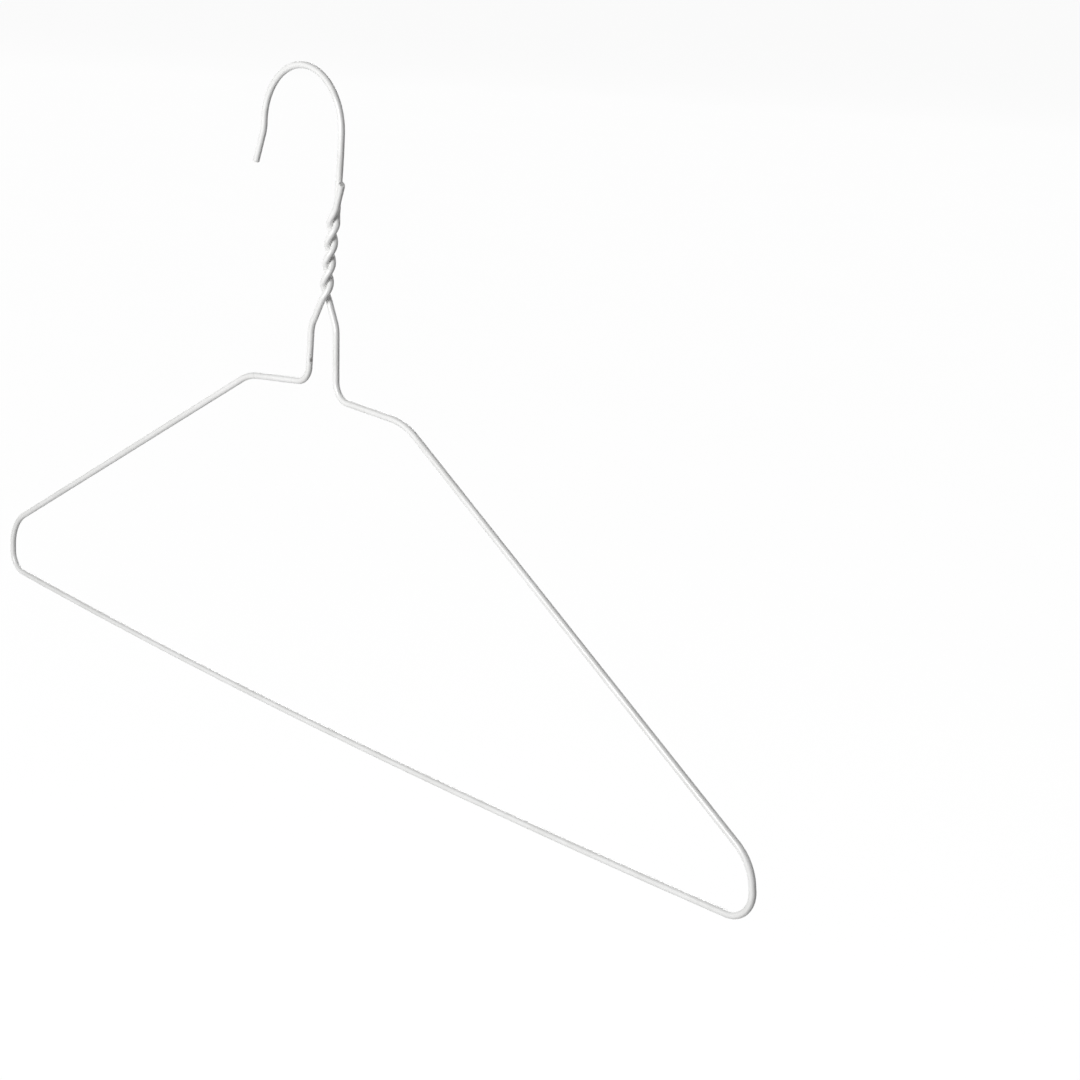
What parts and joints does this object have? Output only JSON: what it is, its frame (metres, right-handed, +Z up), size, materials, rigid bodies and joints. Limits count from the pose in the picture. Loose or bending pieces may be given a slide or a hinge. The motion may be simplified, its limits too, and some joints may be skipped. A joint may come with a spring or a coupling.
{
  "type": "clothes hanger",
  "caption": "Wire clothes hanger: round open hook, twisted neck, flat shoulder ledges, sloping shoulders and a bowed bottom bar, in white coated steel wire.",
  "frame": {"origin": "rail seat: the point at the top of the hook's inside where the hanger rests on a rail", "axes": "+X along the bottom bar, away from the side the hook's mouth faces; +Y to the back, through the hanger's thickness; +Z up"},
  "size_m": [0.4056, 0.0054, 0.2309],
  "materials": {
    "steel_wire": "drawn low-carbon steel wire, bare only at the two cut ends and where the coating is chipped",
    "white_coating": "thin semi-gloss white polymer coating"
  },
  "bodies": {
    "root": {"steel_hook_tip": "steel_wire", "coating_hook_tip": "white_coating", "steel_hook_bow": "steel_wire", "coating_hook_bow": "white_coating", "steel_hook_stem": "steel_wire", "coating_hook_stem": "white_coating", "steel_twist_hook_strand": "steel_wire", "coating_twist_hook_strand": "white_coating", "steel_twist_tail_strand": "steel_wire", "coating_twist_tail_strand": "white_coating", "steel_tail_end": "steel_wire", "coating_tail_end": "white_coating", "steel_left_neck_leg": "steel_wire", "coating_left_neck_leg": "white_coating", "steel_right_neck_leg": "steel_wire", "coating_right_neck_leg": "white_coating", "steel_left_ledge": "steel_wire", "coating_left_ledge": "white_coating", "steel_right_ledge": "steel_wire", "coating_right_ledge": "white_coating", "steel_left_shoulder": "steel_wire", "coating_left_shoulder": "white_coating", "steel_right_shoulder": "steel_wire", "coating_right_shoulder": "white_coating", "steel_left_end_bend": "steel_wire", "coating_left_end_bend": "white_coating", "steel_right_end_bend": "steel_wire", "coating_right_end_bend": "white_coating", "steel_bottom_bar": "steel_wire", "coating_bottom_bar": "white_coating"}
  },
  "joints": []
}
